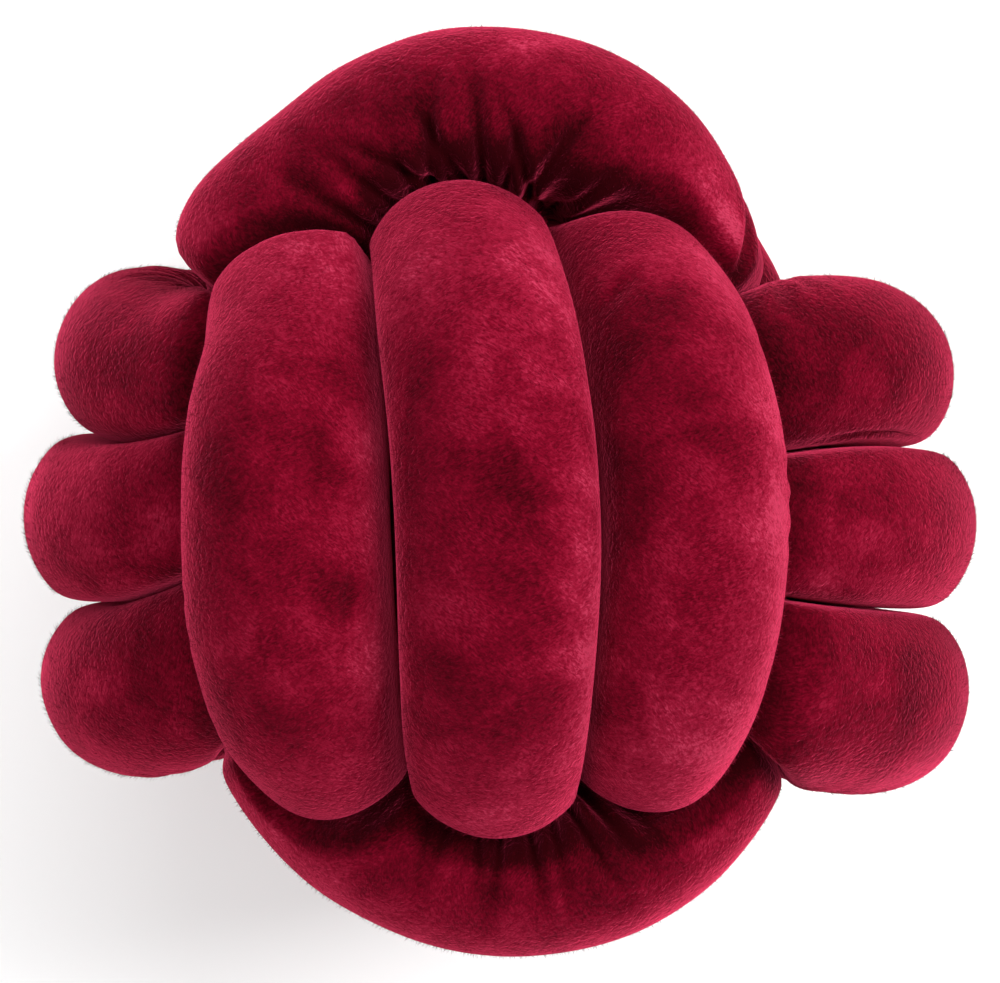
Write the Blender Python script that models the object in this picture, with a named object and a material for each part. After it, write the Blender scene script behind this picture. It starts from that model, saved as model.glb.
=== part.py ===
"""Knot cushion: one stuffed plush tube tied into a ball.

The tube runs in three sets of three turns. Set A winds round the X axis, set B round the
Y axis and set C round the Z axis. A lies over B at the top and the bottom of the ball,
B lies over C at its left and right, and C lies over A at its front and back. The end of
each set turns inside the ball into the start of the next one, so the tube is one closed
ring and the cushion is one solid. Where two passes of the tube meet they press each
other flat, half-way between their middle lines.

The tables are in millimetres. The mesh is made in metres, with +Z up.
"""
import math
from collections import namedtuple

import bpy
import numpy as np

COLLECTION_NAME = "knot_cushion"
NODE_NAME = "knotted_tube"
MM = 0.001

# The ball, from its middle point, in millimetres.
SEAT_DEPTH = 119.0          # height of the middle point above the pressed underside
FLAT_TRIM = 1.2             # trimmed off that underside, so the resting spot is truly flat
WAIST = 36.0                # side step of the hidden legs between two turns of a set
JOIN_DEPTH = 22.0           # how near the middle point the tube passes from set to set
JOIN_PULL = 1.5             # fullness of those joining bends at their ends
MIDDLE_PULL = 0.6           # and in the middle of the ball
HOLD = 2.6                  # how long a pass keeps its reach before it dives under

# The tube.
JOIN_RADIUS = 31.0          # free radius of the tube between two sets
PACKED_RADIUS = 40.0        # radius up to which stuffing spreads in the hidden legs
LEG_SPAN = 0.30             # share of a quarter turn over which a leg takes that radius
NECK = {"A": 0.14, "B": 0.0, "C": 0.05}  # how much a set's passes narrow at their shoulders
NECK_PLACE = 0.34           # quarter turns from the middle of a leg to the narrowest place
NECK_SPAN = 0.40            # quarter turns over which the tube is narrower, on each side of it
CLEARANCE = 2.8             # the slit between two passes that touch
PRESS_SHARPNESS = 14        # how crisply the round tube turns into a pressed face
OWN_LENGTH = 95.0           # nearer along the tube than this, it doesn't press itself
BEND_SHARE = 0.72           # share of a bend's own radius that the inner side may fill
BEND_STEP = 2               # samples on each side from which a bend is measured
NEIGHBOUR_REACH = 220.0     # passes farther off than this can't touch

# The turns. A quarter turn q runs from 0 to 12 in each set: legs lie at even q, and the
# middles of the visible passes at odd q.
QUARTERS = 12
STEPS_PER_QUARTER = 60
JOIN_QUARTER = 0.42         # part of the first and last quarter turn that the joins replace
JOIN_STEPS = 17
LEG_OFFSETS = (1.05, 1.0, 0.5, 0.0, -0.5, -1.0, -1.05)   # times WAIST, one for each leg

# The mesh.
ROUTE_SAMPLES = 1700
ROUTE_SMOOTHING = 30
RADIUS_SMOOTHING = 20
SECTIONS = 490
SIDES = 12

# In a set, u steps across the three strands, v runs along them and w points outwards.
# lean_in, middle, lean_out: u at the +v shoulder, at the crown and at the -v shoulder
# reach: w at the crown          shift: v at the crown
# leg_in, leg_out: depth of the hidden leg beyond +v and beyond -v
# full_in, full_out: how far each shoulder bulges beyond an even bend
# radius: free radius of the tube
Pass = namedtuple("Pass", "lean_in middle lean_out reach shift leg_in leg_out full_in full_out radius")
PASSES = {
    # set, face, strand
    ("A", +1, +1): Pass(55.0, 58.5, 51.0, 101.0, -8.0, 54.5, 74.5, 0.06, 0.31, 29.5),
    ("A", -1, +1): Pass(48.0, 56.0, 46.0, 94.0, 0.0, 62.0, 64.0, 0.30, 0.30, 31.0),
    ("A", +1, 0): Pass(9.5, -0.5, 1.0, 106.0, -4.0, 74.0, 80.5, 0.18, 0.36, 32.5),
    ("A", -1, 0): Pass(0.0, 0.0, 0.0, 96.0, 0.0, 66.0, 66.0, 0.20, 0.20, 31.0),
    ("A", +1, -1): Pass(-41.0, -53.0, -43.5, 100.0, -5.0, 67.5, 75.0, 0.15, 0.38, 27.5),
    ("A", -1, -1): Pass(-46.0, -56.0, -46.0, 94.0, 0.0, 62.0, 64.0, 0.30, 0.30, 31.0),
    ("B", +1, +1): Pass(31.0, 41.5, 41.0, 108.0, 0.0, 55.0, 62.0, 0.10, 0.10, 26.5),
    ("B", -1, +1): Pass(36.0, 34.5, 38.0, 110.0, 0.0, 60.0, 62.0, 0.10, 0.10, 27.0),
    ("B", +1, 0): Pass(-8.0, -7.0, -7.0, 112.0, 0.0, 60.0, 64.0, 0.10, 0.10, 31.0),
    ("B", -1, 0): Pass(-10.0, -11.0, -8.0, 112.0, 0.0, 62.0, 64.0, 0.10, 0.10, 31.0),
    ("B", +1, -1): Pass(-52.0, -56.5, -55.0, 110.0, 0.0, 60.0, 64.0, 0.10, 0.15, 28.0),
    ("B", -1, -1): Pass(-55.0, -59.5, -58.0, 110.0, 0.0, 60.0, 64.0, 0.10, 0.15, 31.0),
    ("C", +1, +1): Pass(48.0, 54.0, 48.0, 103.0, 8.0, 75.0, 45.0, -0.33, 0.62, 31.0),
    ("C", -1, +1): Pass(48.0, 54.0, 48.0, 103.0, -6.0, 68.0, 70.0, -0.02, 0.00, 31.0),
    ("C", +1, 0): Pass(2.0, 2.0, 2.0, 102.0, 7.0, 68.0, 63.0, -0.15, -0.20, 31.0),
    ("C", -1, 0): Pass(2.0, 2.0, 2.0, 104.0, 0.0, 64.0, 64.0, 0.10, 0.10, 31.0),
    ("C", +1, -1): Pass(-44.0, -52.0, -44.0, 100.0, 4.0, 64.0, 60.0, 0.00, 0.00, 31.0),
    ("C", -1, -1): Pass(-46.0, -52.0, -46.0, 100.0, 0.0, 65.0, 67.0, 0.10, 0.10, 31.0),
}
# Where a set's u, v and w lie among X, Y and Z; all that lies along X is mirrored.
AXES = {"A": (0, 1, 2), "B": (1, 2, 0), "C": (2, 0, 1)}
SETS = "ABC"
ORDER = [(face, strand) for strand in (+1, 0, -1) for face in (+1, -1)]

PLUSH_COLOUR = (0.235, 0.006, 0.030, 1.0)
PLUSH_ROUGHNESS = 0.92
PLUSH_SHEEN = 0.6


def clear_scene():
    for old in list(bpy.data.objects):
        bpy.data.objects.remove(old, do_unlink=True)


def ease(t):
    t = np.clip(t, 0.0, 1.0)
    return t * t * (3.0 - 2.0 * t)


def hermite(start, end, start_slope, end_slope, t):
    return ((2 * t**3 - 3 * t**2 + 1) * start + (t**3 - 2 * t**2 + t) * start_slope
            + (-2 * t**3 + 3 * t**2) * end + (t**3 - t**2) * end_slope)


def smooth_through(knots, values, q):
    """A smooth curve through the values at the knots, read at q."""
    knots = np.asarray(knots, float)
    values = np.asarray(values, float)
    slopes = np.gradient(values, knots)
    i = np.clip(np.searchsorted(knots, q) - 1, 0, len(knots) - 2)
    width = knots[i + 1] - knots[i]
    t = (q - knots[i]) / width
    return hermite(values[i], values[i + 1], width * slopes[i], width * slopes[i + 1], t)


def held(values, q):
    """One value for each pass, held round its crown and eased over in each leg."""
    values = np.asarray(values, float)
    place = (q - 1.0) / 2.0
    i = np.clip(np.floor(place).astype(int), 0, len(values) - 2)
    t = ease((place - i - 0.25) / 0.5)
    return values[i] * (1.0 - t) + values[i + 1] * t


def set_path(name):
    """The middle line of one set's three turns in XYZ, with q and the free radius."""
    rows = [PASSES[(name, face, strand)] for face, strand in ORDER]
    knots = []
    across = []
    for i, (row, (face, _strand)) in enumerate(zip(rows, ORDER)):
        first, last = (row.lean_in, row.lean_out) if face > 0 else (row.lean_out, row.lean_in)
        knots += [2 * i, 2 * i + 0.5, 2 * i + 1, 2 * i + 1.5]
        across += [WAIST * LEG_OFFSETS[i], first, row.middle, last]
    knots.append(QUARTERS)
    across.append(WAIST * LEG_OFFSETS[-1])
    q = np.linspace(0.0, QUARTERS, QUARTERS * STEPS_PER_QUARTER + 1)
    u = smooth_through(knots, across, q)

    turn = np.cos(q * math.pi / 2)
    rise = np.sin(q * math.pi / 2)
    leg_in = held([row.leg_in for row in rows], q)
    leg_out = held([row.leg_out for row in rows], q)
    here = np.clip((q // 2).astype(int), 0, len(rows) - 1)
    full_in = np.array([row.full_in for row in rows])[here]
    full_out = np.array([row.full_out for row in rows])[here]
    leg = np.where(turn > 0, leg_in, leg_out)
    full = np.where(turn > 0, full_in, full_out)
    shift = held([row.shift for row in rows], q)
    v = shift * (1.0 - np.abs(turn)) + leg * turn * (1.0 + full * rise**2)

    reach = held([row.reach for row in rows], q)
    depth = (leg_in + leg_out) / 2
    w = (reach - depth) * np.tanh(HOLD * rise) / math.tanh(HOLD) + depth * rise

    path = np.zeros((len(q), 3))
    for values, axis in zip((u, v, w), AXES[name]):
        path[:, axis] = -values if axis == 0 else values
    radius = held([row.radius for row in rows], q)
    kept = (q >= JOIN_QUARTER) & (q <= QUARTERS - JOIN_QUARTER)
    return path[kept], q[kept], radius[kept]


def unit(vector):
    return vector / np.linalg.norm(vector)


def joining_bend(before, after, running_axis):
    """The hidden bend from the end of one set, past the middle, to the start of the next."""
    start, end = before[-1], after[0]
    leave, arrive = unit(before[-1] - before[-4]), unit(after[3] - after[0])
    middle = (start + end) / 2
    middle[running_axis] = JOIN_DEPTH * np.sign(middle[running_axis])
    across = unit(end - start)
    t = np.linspace(0.0, 1.0, JOIN_STEPS + 1)[1:, None]
    halves = []
    first = np.linalg.norm(middle - start)
    second = np.linalg.norm(end - middle)
    halves.append(hermite(start, middle, leave * first * JOIN_PULL, across * first * MIDDLE_PULL, t))
    halves.append(hermite(middle, end, across * second * MIDDLE_PULL, arrive * second * JOIN_PULL, t))
    return np.concatenate(halves)[:-1]


def whole_route():
    """The closed middle line of the tube, with the share of a hidden leg and the radius."""
    paths = [set_path(name) for name in SETS]
    points, hidden, radii = [], [], []
    for i, (path, q, radius) in enumerate(paths):
        bend = joining_bend(path, paths[(i + 1) % len(paths)][0], AXES[SETS[i]][1])
        points += [path, bend]
        from_leg = np.abs((q + 1) % 2 - 1)
        neck = NECK[SETS[i]] * ease(1.0 - np.abs(from_leg - NECK_PLACE) / NECK_SPAN)
        hidden += [ease(1.0 - from_leg / LEG_SPAN), np.ones(len(bend))]
        radii += [radius * (1.0 - neck), np.full(len(bend), JOIN_RADIUS)]
    return np.concatenate(points), np.concatenate(hidden), np.concatenate(radii)


def relaxed(values, rounds):
    for _ in range(rounds):
        values = 0.5 * values + 0.25 * (np.roll(values, 1, 0) + np.roll(values, -1, 0))
    return values


def even_route():
    """The route at even steps: points, free radius and length."""
    points, hidden, radii = whole_route()
    closed = np.vstack([points, points[:1]])
    along = np.concatenate([[0.0], np.cumsum(np.linalg.norm(np.diff(closed, axis=0), axis=1))])
    length = along[-1]
    s = np.linspace(0.0, length, ROUTE_SAMPLES, endpoint=False)
    even = np.stack([np.interp(s, along, closed[:, k]) for k in range(3)], axis=1)
    nearest = np.clip(np.searchsorted(along, s, side="right") - 1, 0, len(points) - 1)
    radius = radii[nearest] + (PACKED_RADIUS - radii[nearest]) * hidden[nearest]
    return relaxed(even, ROUTE_SMOOTHING), relaxed(radius, RADIUS_SMOOTHING), length


def carried_frames(points):
    """At each point the direction of the tube and two directions across it, free of twist."""
    along = np.roll(points, -1, 0) - np.roll(points, 1, 0)
    along /= np.linalg.norm(along, axis=1)[:, None]
    side = np.zeros_like(along)
    side[0] = unit(np.cross(along[0], (0.0, 0.0, 1.0)))
    for i in range(1, len(along)):
        side[i] = unit(side[i - 1] - along[i] * (side[i - 1] @ along[i]))
    closing = unit(side[-1] - along[0] * (side[-1] @ along[0]))
    miss = math.atan2(closing @ np.cross(along[0], side[0]), closing @ side[0])
    share = -miss * np.arange(len(along)) / len(along)
    other = np.cross(along, side)
    side = side * np.cos(share)[:, None] + other * np.sin(share)[:, None]
    return side, np.cross(along, side)


def bend_at(points, step):
    """At each point the vector towards the middle of its bend, one over the bend's radius long."""
    before, after = np.roll(points, BEND_STEP, 0), np.roll(points, -BEND_STEP, 0)
    return (before - 2 * points + after) / (BEND_STEP * step) ** 2


def pressed_rings(sections, sides):
    """Rings of points of the pressed tube in millimetres, sections by sides by XYZ."""
    points, radius, length = even_route()
    side, other = carried_frames(points)
    count = len(points)
    chosen = np.arange(sections) * count // sections
    centre = points[chosen]
    gap_along = np.abs(np.arange(count)[None] - chosen[:, None])
    gap_along = np.minimum(gap_along, count - gap_along) * length / count
    apart = points[None] - centre[:, None]
    distance = np.linalg.norm(apart, axis=2)
    other_pass = (gap_along > OWN_LENGTH) & (distance < NEIGHBOUR_REACH)
    bend = bend_at(points, length / count)[chosen]

    rings = np.zeros((sections, sides, 3))
    for j in range(sides):
        angle = 2 * math.pi * j / sides
        ray = side[chosen] * math.cos(angle) + other[chosen] * math.sin(angle)
        towards = (apart * ray[:, None]).sum(2) + CLEARANCE
        facing = other_pass & (towards > 0)
        half_way = (distance**2 - CLEARANCE**2) / (2 * np.where(facing, towards, 1.0))
        limit = np.where(facing, half_way, np.inf).min(1)
        down = np.maximum(-ray[:, 2], 1e-6)
        limit = np.minimum(limit, (centre[:, 2] + SEAT_DEPTH) / down)
        inwards = np.maximum((bend * ray).sum(1), 1e-6)
        limit = np.minimum(limit, BEND_SHARE / inwards)
        free = radius[chosen]
        pressed = (free**-PRESS_SHARPNESS + limit**-PRESS_SHARPNESS) ** (-1 / PRESS_SHARPNESS)
        rings[:, j] = centre + ray * pressed[:, None]
    return rings


def seated(rings):
    """The rings in metres, centred over the origin, with the resting spot flat at zero."""
    rings = rings.copy()
    low, high = rings.min((0, 1)), rings.max((0, 1))
    rings[:, :, :2] -= (low[:2] + high[:2]) / 2
    rings[:, :, 2] = np.maximum(rings[:, :, 2] + SEAT_DEPTH - FLAT_TRIM, 0.0)
    return rings * MM


def ring_faces(sections, sides):
    faces = []
    for i in range(sections):
        after = (i + 1) % sections
        for j in range(sides):
            beside = (j + 1) % sides
            faces.append((i * sides + j, i * sides + beside, after * sides + beside, after * sides + j))
    return faces


def plush_material():
    material = bpy.data.materials.new("crimson_plush")
    material.use_nodes = True
    shader = material.node_tree.nodes["Principled BSDF"]
    shader.inputs["Base Color"].default_value = PLUSH_COLOUR
    shader.inputs["Roughness"].default_value = PLUSH_ROUGHNESS
    shader.inputs["Metallic"].default_value = 0.0
    shader.inputs["Sheen Weight"].default_value = PLUSH_SHEEN
    return material


def make_tube(collection):
    rings = seated(pressed_rings(SECTIONS, SIDES))
    mesh = bpy.data.meshes.new(NODE_NAME)
    mesh.from_pydata(rings.reshape(-1, 3).tolist(), [], ring_faces(SECTIONS, SIDES))
    mesh.shade_smooth()
    mesh.materials.append(plush_material())
    tube = bpy.data.objects.new(NODE_NAME, mesh)
    collection.objects.link(tube)
    return tube


def main():
    clear_scene()
    collection = bpy.data.collections.new(COLLECTION_NAME)
    bpy.context.scene.collection.children.link(collection)
    make_tube(collection)


main()
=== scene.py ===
"""The knot cushion's looks: nine turns of a stuffed plush tube with its gathers, seam and pile.

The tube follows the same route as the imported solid, pressed by the same rule, with a much
finer surface. Tables and routes are in millimetres, and meshes in metres.
"""
import itertools
import math
from collections import namedtuple

import bpy
import numpy as np
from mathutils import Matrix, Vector


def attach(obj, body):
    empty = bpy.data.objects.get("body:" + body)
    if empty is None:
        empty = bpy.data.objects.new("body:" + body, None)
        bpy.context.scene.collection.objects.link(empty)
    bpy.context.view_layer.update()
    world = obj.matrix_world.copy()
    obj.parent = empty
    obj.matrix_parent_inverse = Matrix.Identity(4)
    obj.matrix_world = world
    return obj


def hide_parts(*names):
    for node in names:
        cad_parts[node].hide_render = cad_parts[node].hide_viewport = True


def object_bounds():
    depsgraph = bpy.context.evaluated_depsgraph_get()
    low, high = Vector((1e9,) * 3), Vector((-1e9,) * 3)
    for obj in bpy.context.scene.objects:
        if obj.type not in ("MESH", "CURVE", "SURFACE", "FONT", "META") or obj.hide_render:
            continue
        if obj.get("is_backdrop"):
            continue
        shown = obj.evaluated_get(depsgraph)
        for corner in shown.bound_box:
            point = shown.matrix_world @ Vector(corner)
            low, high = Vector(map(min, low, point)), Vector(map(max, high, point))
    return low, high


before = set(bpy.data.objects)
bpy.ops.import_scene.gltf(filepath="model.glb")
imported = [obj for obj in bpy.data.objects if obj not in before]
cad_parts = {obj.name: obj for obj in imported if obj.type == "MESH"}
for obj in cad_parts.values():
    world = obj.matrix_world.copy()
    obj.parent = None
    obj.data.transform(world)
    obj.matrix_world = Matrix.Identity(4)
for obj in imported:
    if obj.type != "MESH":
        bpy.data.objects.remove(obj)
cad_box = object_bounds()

MM = 0.001
NODE = "knotted_tube"

# The ball, from its middle point, in millimetres, as in the solid.
SEAT_DEPTH = 119.0          # height of the middle point above the pressed underside
FLAT_TRIM = 1.2             # trimmed off that underside, so the resting spot is truly flat
WAIST = 36.0                # side step of the hidden legs between two turns of a set
JOIN_DEPTH = 22.0           # how near the middle point the tube passes from set to set
JOIN_PULL = 1.5             # fullness of those joining bends at their ends
MIDDLE_PULL = 0.6           # and in the middle of the ball
HOLD = 2.6                  # how long a pass keeps its reach before it dives under
PACKED_RADIUS = 40.0        # radius up to which stuffing spreads in the hidden legs and joins
LEG_SPAN = 0.30             # share of a quarter turn over which a leg takes that radius
NECK = {"A": 0.14, "B": 0.0, "C": 0.05}  # how much a set's passes narrow at their shoulders
NECK_PLACE = 0.34           # quarter turns from the middle of a leg to the narrowest place
NECK_SPAN = 0.40            # quarter turns over which the tube is narrower, on each side of it
CLEARANCE = 0.7             # the slit between two passes that touch
PRESS_SHARPNESS = 14        # how crisply the round tube turns into a pressed face
OWN_LENGTH = 95.0           # nearer along the tube than this, it doesn't press itself
BEND_SHARE = 0.72           # share of a bend's own radius that the inner side may fill
BEND_STEP = 2               # samples on each side from which a bend is measured
NEIGHBOUR_REACH = 220.0     # passes farther off than this can't touch

# A quarter turn q runs from 0 to 12 in each set: legs lie at even q, crowns at odd q.
QUARTERS = 12
STEPS_PER_QUARTER = 60
JOIN_QUARTER = 0.42         # part of the first and last quarter turn that the joins replace
JOIN_STEPS = 17
JOIN_TANGENT = 3            # samples between which the direction at a join's ends is measured
LEG_OFFSETS = (1.05, 1.0, 0.5, 0.0, -0.5, -1.0, -1.05)   # times WAIST, one for each leg
ROUTE_SAMPLES = 1700
ROUTE_SMOOTHING = 30
RADIUS_SMOOTHING = 20
HELD_SHARE = 0.25           # share of the way to the next pass over which a pass keeps its values
TANGENT_STEP = 1.0          # millimetres to each side between which the tube's direction is measured
TINY = 1e-6                 # the least that anything is divided by

# In a set, u steps across the three strands, v runs along them and w points outwards.
# lean_in, middle, lean_out: u at the +v shoulder, at the crown and at the -v shoulder
# reach: w at the crown          shift: v at the crown
# leg_in, leg_out: depth of the hidden leg beyond +v and beyond -v
# full_in, full_out: how far each shoulder bulges beyond an even bend
# radius: free radius of the tube
Pass = namedtuple("Pass", "lean_in middle lean_out reach shift leg_in leg_out full_in full_out radius")
PASSES = {
    # set, face, strand
    ("A", +1, +1): Pass(55.0, 58.5, 51.0, 101.0, -8.0, 54.5, 74.5, 0.06, 0.31, 29.5),
    ("A", -1, +1): Pass(48.0, 56.0, 46.0, 94.0, 0.0, 62.0, 64.0, 0.30, 0.30, 31.0),
    ("A", +1, 0): Pass(9.5, -0.5, 1.0, 106.0, -4.0, 74.0, 80.5, 0.18, 0.36, 32.5),
    ("A", -1, 0): Pass(0.0, 0.0, 0.0, 96.0, 0.0, 66.0, 66.0, 0.20, 0.20, 31.0),
    ("A", +1, -1): Pass(-41.0, -53.0, -43.5, 100.0, -5.0, 67.5, 75.0, 0.15, 0.38, 27.5),
    ("A", -1, -1): Pass(-46.0, -56.0, -46.0, 94.0, 0.0, 62.0, 64.0, 0.30, 0.30, 31.0),
    ("B", +1, +1): Pass(31.0, 41.5, 41.0, 108.0, 0.0, 55.0, 62.0, 0.10, 0.10, 26.5),
    ("B", -1, +1): Pass(36.0, 34.5, 38.0, 110.0, 0.0, 60.0, 62.0, 0.10, 0.10, 27.0),
    ("B", +1, 0): Pass(-8.0, -7.0, -7.0, 112.0, 0.0, 60.0, 64.0, 0.10, 0.10, 31.0),
    ("B", -1, 0): Pass(-10.0, -11.0, -8.0, 112.0, 0.0, 62.0, 64.0, 0.10, 0.10, 31.0),
    ("B", +1, -1): Pass(-52.0, -56.5, -55.0, 110.0, 0.0, 60.0, 64.0, 0.10, 0.15, 28.0),
    ("B", -1, -1): Pass(-55.0, -59.5, -58.0, 110.0, 0.0, 60.0, 64.0, 0.10, 0.15, 31.0),
    ("C", +1, +1): Pass(48.0, 54.0, 48.0, 103.0, 8.0, 75.0, 45.0, -0.33, 0.62, 31.0),
    ("C", -1, +1): Pass(48.0, 54.0, 48.0, 103.0, -6.0, 68.0, 70.0, -0.02, 0.00, 31.0),
    ("C", +1, 0): Pass(2.0, 2.0, 2.0, 102.0, 7.0, 68.0, 63.0, -0.15, -0.20, 31.0),
    ("C", -1, 0): Pass(2.0, 2.0, 2.0, 104.0, 0.0, 64.0, 64.0, 0.10, 0.10, 31.0),
    ("C", +1, -1): Pass(-44.0, -52.0, -44.0, 100.0, 4.0, 64.0, 60.0, 0.00, 0.00, 31.0),
    ("C", -1, -1): Pass(-46.0, -52.0, -46.0, 100.0, 0.0, 65.0, 67.0, 0.10, 0.10, 31.0),
}
# Where a set's u, v and w lie among X, Y and Z; all that lies along X is mirrored.
AXES = {"A": (0, 1, 2), "B": (1, 2, 0), "C": (2, 0, 1)}
SETS = "ABC"
# The order in which the tube takes a set's passes, as (face, strand).
ORDER = [(face, strand) for strand in (+1, 0, -1) for face in (+1, -1)]

# The fine mesh: nine turns, each a piece. Gaps are in millimetres, angles in degrees.
QUARTERS_A_TURN = 4
TURNS = 9
TURNS_A_SET = 3
RING_GAP = 1.2              # along the tube
HIDDEN_RING_GAP = 4.0
SHOWN_QUARTER = 0.66        # how far from its crown, in quarter turns, a pass can be seen
QUARTER_BLEND = 0.12        # quarter turns over which one gap goes over into the other
SIDE_GAP = 1.9              # round the tube
HIDDEN_SIDE_GAP = 4.5
SHOWN_ANGLE = 140.0         # how far round from its outer line the tube can be seen
ANGLE_BLEND = 15.0          # how far round one gap goes over into the other
GAP_STEPS = 4000            # steps in which gaps are added up
TUBE_RADIUS = 31.0          # nominal, for distances round the tube

# Soft unevenness of the stuffing: height as a share of the radius, width in millimetres, seed.
LUMPS = ((0.030, 46.0, 3), (0.014, 17.0, 8))
NOISE_CELLS = 24            # the noise repeats after so many cells
# The seam, on the side of the tube that faces the middle of the ball.
INNER_ROUNDS = 60           # rounds that smooth the direction in which it lies
SEAM_WIDTH = 1.3
SEAM_DEPTH = 1.1

# Gathers: soft troughs, each between two low ridges, most of them where the tube bends tightly.
# quarter: place from the pass's crown in quarter turns     angle: place round the tube in degrees
# length, width, depth: millimetres     lean: degrees, 0 for straight across the tube, 90 for along it
Gather = namedtuple("Gather", "quarter angle length width depth lean")
GATHERS = {
    # set, face, strand
    ("C", +1, +1): [
        Gather(-0.56, 62.0, 46.0, 2.4, 1.2, 30.0),
        Gather(-0.50, 54.0, 46.0, 1.8, 1.2, 12.0),
        Gather(-0.45, 93.0, 88.0, 1.9, 2.0, 11.0),
        Gather(-0.40, 95.0, 56.0, 1.5, 1.6, 4.0),
        Gather(-0.346, 91.0, 84.0, 1.9, 2.8, 16.0),
        Gather(-0.27, 93.0, 64.0, 1.6, 2.2, -4.0),
        Gather(-0.194, 91.0, 88.0, 1.7, 3.4, 32.0),
        Gather(-0.188, 91.0, 96.0, 1.7, 3.2, -13.0),
        Gather(-0.115, 91.0, 66.0, 1.4, 2.2, 4.0),
        Gather(-0.053, 91.0, 80.0, 1.5, 2.8, 17.0),
        Gather(0.025, 91.0, 98.0, 1.7, 3.4, 3.0),
        Gather(0.085, 93.0, 56.0, 1.4, 2.2, -5.0),
        Gather(0.135, 91.0, 76.0, 1.6, 3.0, 21.0),
        Gather(0.158, 91.0, 84.0, 1.7, 3.2, -17.0),
        Gather(0.235, 116.0, 60.0, 7.0, 8.0, 0.0),
        Gather(0.30, 95.0, 70.0, 1.8, 2.2, -14.0),
        Gather(0.37, 95.0, 60.0, 1.7, 1.7, -20.0),
        Gather(0.46, 95.0, 54.0, 2.0, 1.4, -22.0),
        Gather(0.69, 10.0, 66.0, 2.2, 2.3, 32.0),
    ],
    ("C", -1, +1): [
        Gather(0.31, 84.0, 68.0, 1.8, 1.4, -14.0),
        Gather(0.235, 84.0, 76.0, 1.5, 2.0, 6.0),
        Gather(0.175, 84.0, 86.0, 1.5, 2.3, -8.0),
        Gather(0.11, 84.0, 82.0, 1.4, 2.5, 5.0),
        Gather(0.05, 84.0, 96.0, 1.6, 3.2, -4.0),
        Gather(-0.015, 84.0, 88.0, 1.4, 3.0, 6.0),
        Gather(-0.085, 84.0, 82.0, 1.5, 2.4, 2.0),
        Gather(-0.15, 84.0, 92.0, 1.6, 3.1, 12.0),
        Gather(-0.215, 84.0, 82.0, 1.5, 2.5, 16.0),
        Gather(-0.29, 84.0, 68.0, 1.8, 1.6, 12.0),
    ],
    ("A", +1, +1): [
        Gather(-0.12, -52.0, 30.0, 2.6, 0.9, 79.0),
        Gather(0.13, -66.0, 21.0, 2.0, 1.0, 76.0),
    ],
    ("A", +1, -1): [
        Gather(-0.42, 48.0, 24.0, 2.2, 0.8, 14.0),
    ],
    ("B", -1, +1): [
        Gather(0.42, -67.0, 66.0, 1.5, 1.6, 86.0),
        Gather(0.60, 52.0, 34.0, 1.8, 1.2, -20.0),
        Gather(0.54, 62.0, 30.0, 1.6, 1.0, -8.0),
    ],
}
RIDGE_SHARE = 0.28          # height of a gather's ridges as a share of its depth
RIDGE_PLACE = 1.9           # and their distance from it as a share of its width
GATHER_REACH = 5            # beyond its own length, a gather is followed for this many widths
# Painted shade: how much darker the pile is coloured for each millimetre of depth, in a gather and in
# the folds round it.
SHADE = 0.14
WIDE_SHADE = 0.045
SHADE_SPREAD = 4.0          # width of that second shade, in widths of the gather
MOST_SHADE = 0.75           # at most, with the nook's shade below
# Painted shade: how much darker a set's pile is coloured where another set lies close to it, in the nook
# where shade falls.
NOOK_SHADE = {"A": 0.0, "B": 0.20, "C": 0.40}
NOOK_REACH = 1.55           # how far from the tube's middle that shade ends, in free radii
# Gathers drawn at random for the outer strands of set A, and for those of sets B and C that have
# no rows above. They lie on the side away from the middle strand.
LOOSE_COUNT = 11
LOOSE_REACH = 0.42          # quarter turns from the crown
LOOSE_ANGLE = 102.0
LOOSE_LENGTHS = (44.0, 80.0)
LOOSE_WIDTHS = (1.4, 2.1)
LOOSE_DEPTHS = (1.0, 2.6)
LOOSE_LEAN = 16.0           # at most, to either side
LOOSE_SEED = 5
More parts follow.
